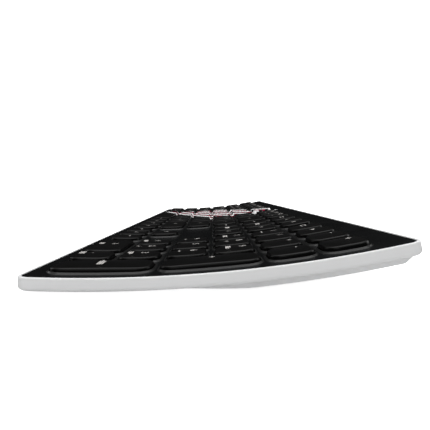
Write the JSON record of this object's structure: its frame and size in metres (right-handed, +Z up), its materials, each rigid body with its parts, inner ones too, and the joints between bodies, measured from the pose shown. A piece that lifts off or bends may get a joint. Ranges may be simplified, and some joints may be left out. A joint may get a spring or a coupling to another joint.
{
  "type": "curved keyboard",
  "caption": "Slim full-size keyboard with a deck curved front to back, low keys in lipped wells, a white lower shell and fold-out tilt legs.",
  "frame": {"origin": "middle of the outline, on the surface that the rubber pads stand on", "axes": "+X to the typist's right, +Y away from the typist, +Z up"},
  "size_m": [0.4392, 0.1326, 0.0176],
  "materials": {
    "base_tray": "smooth white plastic",
    "battery_contacts": "spring steel",
    "battery_door": "smooth white plastic",
    "case_screws": "zinc-plated steel",
    "coin_cells": "bare steel cans",
    "controller_board": "green circuit board",
    "dome_mat": "translucent grey silicone",
    "front_pads": "dark grey rubber",
    "leg_pad_left": "dark grey rubber",
    "leg_pad_right": "dark grey rubber",
    "membrane_circuit": "film with printed tracks",
    "power_switch": "black plastic",
    "rear_pads": "dark grey rubber",
    "support_plate": "plain sheet steel",
    "tilt_leg_left": "light grey plastic",
    "tilt_leg_right": "light grey plastic",
    "top_frame": "glossy black plastic",
    "keycaps": "fine matte charcoal plastic"
  },
  "bodies": {
    "case": {"base_tray": "base_tray", "top_frame": "top_frame", "dome_mat": "dome_mat", "membrane_circuit": "membrane_circuit", "support_plate": "support_plate", "controller_board": "controller_board", "coin_cells": "coin_cells", "battery_contacts": "battery_contacts", "case_screws": "case_screws", "front_pads": "front_pads", "rear_pads": "rear_pads"},
    "leg_left": {"tilt_leg_left": "tilt_leg_left", "leg_pad_left": "leg_pad_left"},
    "leg_right": {"tilt_leg_right": "tilt_leg_right", "leg_pad_right": "leg_pad_right"},
    "door": {"battery_door": "battery_door"},
    "switch": {"power_switch": "power_switch"},
    "key_arrow_down": {"key_arrow_down": "keycaps"},
    "key_arrow_left": {"key_arrow_left": "keycaps"},
    "key_arrow_right": {"key_arrow_right": "keycaps"},
    "key_arrow_up": {"key_arrow_up": "keycaps"},
    "key_backspace": {"key_backspace": "keycaps"},
    "key_caps_lock": {"key_caps_lock": "keycaps"},
    "key_enter": {"key_enter": "keycaps"},
    "key_escape": {"key_escape": "keycaps"},
    "key_shift_left": {"key_shift_left": "keycaps"},
    "key_shift_right": {"key_shift_right": "keycaps"},
    "key_space": {"key_space": "keycaps"},
    "key_tab": {"key_tab": "keycaps"},
    "keypad_0": {"keypad_0": "keycaps"},
    "keypad_1": {"keypad_1": "keycaps"},
    "keypad_2": {"keypad_2": "keycaps"},
    "keypad_3": {"keypad_3": "keycaps"},
    "keypad_4": {"keypad_4": "keycaps"},
    "keypad_5": {"keypad_5": "keycaps"},
    "keypad_6": {"keypad_6": "keycaps"},
    "keypad_7": {"keypad_7": "keycaps"},
    "keypad_8": {"keypad_8": "keycaps"},
    "keypad_9": {"keypad_9": "keycaps"},
    "keypad_enter": {"keypad_enter": "keycaps"},
    "keypad_lock_divide_times": {"keypad_lock_divide_times": "keycaps"},
    "keypad_minus": {"keypad_minus": "keycaps"},
    "keypad_plus": {"keypad_plus": "keycaps"},
    "keypad_point": {"keypad_point": "keycaps"},
    "keys_7_to_equals": {"keys_7_to_equals": "keycaps"},
    "keys_a_to_g": {"keys_a_to_g": "keycaps"},
    "keys_f1_to_f4": {"keys_f1_to_f4": "keycaps"},
    "keys_f5_to_f8": {"keys_f5_to_f8": "keycaps"},
    "keys_f9_to_f12": {"keys_f9_to_f12": "keycaps"},
    "keys_grave_to_6": {"keys_grave_to_6": "keycaps"},
    "keys_h_to_quote": {"keys_h_to_quote": "keycaps"},
    "keys_media": {"keys_media": "keycaps"},
    "keys_modifiers_left": {"keys_modifiers_left": "keycaps"},
    "keys_modifiers_right": {"keys_modifiers_right": "keycaps"},
    "keys_n_to_slash": {"keys_n_to_slash": "keycaps"},
    "keys_navigation": {"keys_navigation": "keycaps"},
    "keys_q_to_t": {"keys_q_to_t": "keycaps"},
    "keys_system": {"keys_system": "keycaps"},
    "keys_y_to_backslash": {"keys_y_to_backslash": "keycaps"},
    "keys_z_to_b": {"keys_z_to_b": "keycaps"}
  },
  "joints": [
    {"name": "key_arrow_down_press", "type": "slide", "parent": "case", "child": "key_arrow_down", "axis": [0, -0.0129, -0.9999], "range_m": [0, 0.0015], "stiffness_N_per_m": 400, "springref_m": -0.0005, "deforming": ["dome_mat"]},
    {"name": "key_arrow_left_press", "type": "slide", "parent": "case", "child": "key_arrow_left", "axis": [0, -0.0129, -0.9999], "range_m": [0, 0.0015], "stiffness_N_per_m": 400, "springref_m": -0.0005, "deforming": ["dome_mat"]},
    {"name": "key_arrow_right_press", "type": "slide", "parent": "case", "child": "key_arrow_right", "axis": [0, -0.0129, -0.9999], "range_m": [0, 0.0015], "stiffness_N_per_m": 400, "springref_m": -0.0005, "deforming": ["dome_mat"]},
    {"name": "key_arrow_up_press", "type": "slide", "parent": "case", "child": "key_arrow_up", "axis": [0, 0.0252, -0.9997], "range_m": [0, 0.0015], "stiffness_N_per_m": 400, "springref_m": -0.0005, "deforming": ["dome_mat"]},
    {"name": "key_backspace_press", "type": "slide", "parent": "case", "child": "key_backspace", "axis": [0, 0.1391, -0.9903], "range_m": [0, 0.0015], "stiffness_N_per_m": 400, "springref_m": -0.0005, "deforming": ["dome_mat"]},
    {"name": "key_caps_lock_press", "type": "slide", "parent": "case", "child": "key_caps_lock", "axis": [0, 0.0633, -0.998], "range_m": [0, 0.0015], "stiffness_N_per_m": 400, "springref_m": -0.0005, "deforming": ["dome_mat"]},
    {"name": "key_enter_press", "type": "slide", "parent": "case", "child": "key_enter", "axis": [0, 0.0633, -0.998], "range_m": [0, 0.0015], "stiffness_N_per_m": 400, "springref_m": -0.0005, "deforming": ["dome_mat"]},
    {"name": "key_escape_press", "type": "slide", "parent": "case", "child": "key_escape", "axis": [0, 0.1767, -0.9843], "range_m": [0, 0.0015], "stiffness_N_per_m": 400, "springref_m": -0.0005, "deforming": ["dome_mat"]},
    {"name": "key_shift_left_press", "type": "slide", "parent": "case", "child": "key_shift_left", "axis": [0, 0.0252, -0.9997], "range_m": [0, 0.0015], "stiffness_N_per_m": 400, "springref_m": -0.0005, "deforming": ["dome_mat"]},
    {"name": "key_shift_right_press", "type": "slide", "parent": "case", "child": "key_shift_right", "axis": [0, 0.0252, -0.9997], "range_m": [0, 0.0015], "stiffness_N_per_m": 400, "springref_m": -0.0005, "deforming": ["dome_mat"]},
    {"name": "key_space_press", "type": "slide", "parent": "case", "child": "key_space", "axis": [0, -0.0129, -0.9999], "range_m": [0, 0.0015], "stiffness_N_per_m": 400, "springref_m": -0.0005, "deforming": ["dome_mat"]},
    {"name": "key_tab_press", "type": "slide", "parent": "case", "child": "key_tab", "axis": [0, 0.1012, -0.9949], "range_m": [0, 0.0015], "stiffness_N_per_m": 400, "springref_m": -0.0005, "deforming": ["dome_mat"]},
    {"name": "keypad_0_press", "type": "slide", "parent": "case", "child": "keypad_0", "axis": [0, -0.0129, -0.9999], "range_m": [0, 0.0015], "stiffness_N_per_m": 400, "springref_m": -0.0005, "deforming": ["dome_mat"]},
    {"name": "keypad_1_press", "type": "slide", "parent": "case", "child": "keypad_1", "axis": [0, 0.0252, -0.9997], "range_m": [0, 0.0015], "stiffness_N_per_m": 400, "springref_m": -0.0005, "deforming": ["dome_mat"]},
    {"name": "keypad_2_press", "type": "slide", "parent": "case", "child": "keypad_2", "axis": [0, 0.0252, -0.9997], "range_m": [0, 0.0015], "stiffness_N_per_m": 400, "springref_m": -0.0005, "deforming": ["dome_mat"]},
    {"name": "keypad_3_press", "type": "slide", "parent": "case", "child": "keypad_3", "axis": [0, 0.0252, -0.9997], "range_m": [0, 0.0015], "stiffness_N_per_m": 400, "springref_m": -0.0005, "deforming": ["dome_mat"]},
    {"name": "keypad_4_press", "type": "slide", "parent": "case", "child": "keypad_4", "axis": [0, 0.0633, -0.998], "range_m": [0, 0.0015], "stiffness_N_per_m": 400, "springref_m": -0.0005, "deforming": ["dome_mat"]},
    {"name": "keypad_5_press", "type": "slide", "parent": "case", "child": "keypad_5", "axis": [0, 0.0633, -0.998], "range_m": [0, 0.0015], "stiffness_N_per_m": 400, "springref_m": -0.0005, "deforming": ["dome_mat"]},
    {"name": "keypad_6_press", "type": "slide", "parent": "case", "child": "keypad_6", "axis": [0, 0.0633, -0.998], "range_m": [0, 0.0015], "stiffness_N_per_m": 400, "springref_m": -0.0005, "deforming": ["dome_mat"]},
    {"name": "keypad_7_press", "type": "slide", "parent": "case", "child": "keypad_7", "axis": [0, 0.1012, -0.9949], "range_m": [0, 0.0015], "stiffness_N_per_m": 400, "springref_m": -0.0005, "deforming": ["dome_mat"]},
    {"name": "keypad_8_press", "type": "slide", "parent": "case", "child": "keypad_8", "axis": [0, 0.1012, -0.9949], "range_m": [0, 0.0015], "stiffness_N_per_m": 400, "springref_m": -0.0005, "deforming": ["dome_mat"]},
    {"name": "keypad_9_press", "type": "slide", "parent": "case", "child": "keypad_9", "axis": [0, 0.1012, -0.9949], "range_m": [0, 0.0015], "stiffness_N_per_m": 400, "springref_m": -0.0005, "deforming": ["dome_mat"]},
    {"name": "keypad_enter_press", "type": "slide", "parent": "case", "child": "keypad_enter", "axis": [0, 0.0062, -1], "range_m": [0, 0.0015], "stiffness_N_per_m": 400, "springref_m": -0.0005, "deforming": ["dome_mat"]},
    {"name": "keypad_lock_divide_times_press", "type": "slide", "parent": "case", "child": "keypad_lock_divide_times", "axis": [0, 0.1391, -0.9903], "range_m": [0, 0.0015], "stiffness_N_per_m": 1200, "springref_m": -0.0005, "deforming": ["dome_mat"]},
    {"name": "keypad_minus_press", "type": "slide", "parent": "case", "child": "keypad_minus", "axis": [0, 0.1391, -0.9903], "range_m": [0, 0.0015], "stiffness_N_per_m": 400, "springref_m": -0.0005, "deforming": ["dome_mat"]},
    {"name": "keypad_plus_press", "type": "slide", "parent": "case", "child": "keypad_plus", "axis": [0, 0.0823, -0.9966], "range_m": [0, 0.0015], "stiffness_N_per_m": 400, "springref_m": -0.0005, "deforming": ["dome_mat"]},
    {"name": "keypad_point_press", "type": "slide", "parent": "case", "child": "keypad_point", "axis": [0, -0.0129, -0.9999], "range_m": [0, 0.0015], "stiffness_N_per_m": 400, "springref_m": -0.0005, "deforming": ["dome_mat"]},
    {"name": "keys_7_to_equals_press", "type": "slide", "parent": "case", "child": "keys_7_to_equals", "axis": [0, 0.1391, -0.9903], "range_m": [0, 0.0015], "stiffness_N_per_m": 2400, "springref_m": -0.0005, "deforming": ["dome_mat"]},
    {"name": "keys_a_to_g_press", "type": "slide", "parent": "case", "child": "keys_a_to_g", "axis": [0, 0.0633, -0.998], "range_m": [0, 0.0015], "stiffness_N_per_m": 2000, "springref_m": -0.0005, "deforming": ["dome_mat"]},
    {"name": "keys_f1_to_f4_press", "type": "slide", "parent": "case", "child": "keys_f1_to_f4", "axis": [0, 0.1767, -0.9843], "range_m": [0, 0.0015], "stiffness_N_per_m": 1600, "springref_m": -0.0005, "deforming": ["dome_mat"]},
    {"name": "keys_f5_to_f8_press", "type": "slide", "parent": "case", "child": "keys_f5_to_f8", "axis": [0, 0.1767, -0.9843], "range_m": [0, 0.0015], "stiffness_N_per_m": 1600, "springref_m": -0.0005, "deforming": ["dome_mat"]},
    {"name": "keys_f9_to_f12_press", "type": "slide", "parent": "case", "child": "keys_f9_to_f12", "axis": [0, 0.1767, -0.9843], "range_m": [0, 0.0015], "stiffness_N_per_m": 1600, "springref_m": -0.0005, "deforming": ["dome_mat"]},
    {"name": "keys_grave_to_6_press", "type": "slide", "parent": "case", "child": "keys_grave_to_6", "axis": [0, 0.1391, -0.9903], "range_m": [0, 0.0015], "stiffness_N_per_m": 2800, "springref_m": -0.0005, "deforming": ["dome_mat"]},
    {"name": "keys_h_to_quote_press", "type": "slide", "parent": "case", "child": "keys_h_to_quote", "axis": [0, 0.0633, -0.998], "range_m": [0, 0.0015], "stiffness_N_per_m": 2400, "springref_m": -0.0005, "deforming": ["dome_mat"]},
    {"name": "keys_media_press", "type": "slide", "parent": "case", "child": "keys_media", "axis": [0, 0.1767, -0.9843], "range_m": [0, 0.0015], "stiffness_N_per_m": 1600, "springref_m": -0.0005, "deforming": ["dome_mat"]},
    {"name": "keys_modifiers_left_press", "type": "slide", "parent": "case", "child": "keys_modifiers_left", "axis": [0, -0.0129, -0.9999], "range_m": [0, 0.0015], "stiffness_N_per_m": 1200, "springref_m": -0.0005, "deforming": ["dome_mat"]},
    {"name": "keys_modifiers_right_press", "type": "slide", "parent": "case", "child": "keys_modifiers_right", "axis": [0, -0.0129, -0.9999], "range_m": [0, 0.0015], "stiffness_N_per_m": 1600, "springref_m": -0.0005, "deforming": ["dome_mat"]},
    {"name": "keys_n_to_slash_press", "type": "slide", "parent": "case", "child": "keys_n_to_slash", "axis": [0, 0.0252, -0.9997], "range_m": [0, 0.0015], "stiffness_N_per_m": 2000, "springref_m": -0.0005, "deforming": ["dome_mat"]},
    {"name": "keys_navigation_press", "type": "slide", "parent": "case", "child": "keys_navigation", "axis": [0, 0.1202, -0.9928], "range_m": [0, 0.0015], "stiffness_N_per_m": 2400, "springref_m": -0.0005, "deforming": ["dome_mat"]},
    {"name": "keys_q_to_t_press", "type": "slide", "parent": "case", "child": "keys_q_to_t", "axis": [0, 0.1012, -0.9949], "range_m": [0, 0.0015], "stiffness_N_per_m": 2000, "springref_m": -0.0005, "deforming": ["dome_mat"]},
    {"name": "keys_system_press", "type": "slide", "parent": "case", "child": "keys_system", "axis": [0, 0.1767, -0.9843], "range_m": [0, 0.0015], "stiffness_N_per_m": 1200, "springref_m": -0.0005, "deforming": ["dome_mat"]},
    {"name": "keys_y_to_backslash_press", "type": "slide", "parent": "case", "child": "keys_y_to_backslash", "axis": [0, 0.1012, -0.9949], "range_m": [0, 0.0015], "stiffness_N_per_m": 3200, "springref_m": -0.0005, "deforming": ["dome_mat"]},
    {"name": "keys_z_to_b_press", "type": "slide", "parent": "case", "child": "keys_z_to_b", "axis": [0, 0.0252, -0.9997], "range_m": [0, 0.0015], "stiffness_N_per_m": 2000, "springref_m": -0.0005, "deforming": ["dome_mat"]},
    {"name": "leg_left_fold", "type": "hinge", "parent": "case", "child": "leg_left", "pos_m": [-0.184, 0.04084, 0.00765], "axis": [-1, 0, 0], "range_deg": [0, 98]},
    {"name": "leg_right_fold", "type": "hinge", "parent": "case", "child": "leg_right", "pos_m": [0.184, 0.04084, 0.00765], "axis": [-1, 0, 0], "range_deg": [0, 98]},
    {"name": "door_slide", "type": "slide", "parent": "case", "child": "door", "axis": [0, 0.9856, 0.1692], "range_m": [0, 0.025]},
    {"name": "switch_slide", "type": "slide", "parent": "case", "child": "switch", "axis": [1, 0, 0], "range_m": [0, 0.0047]}
  ]
}
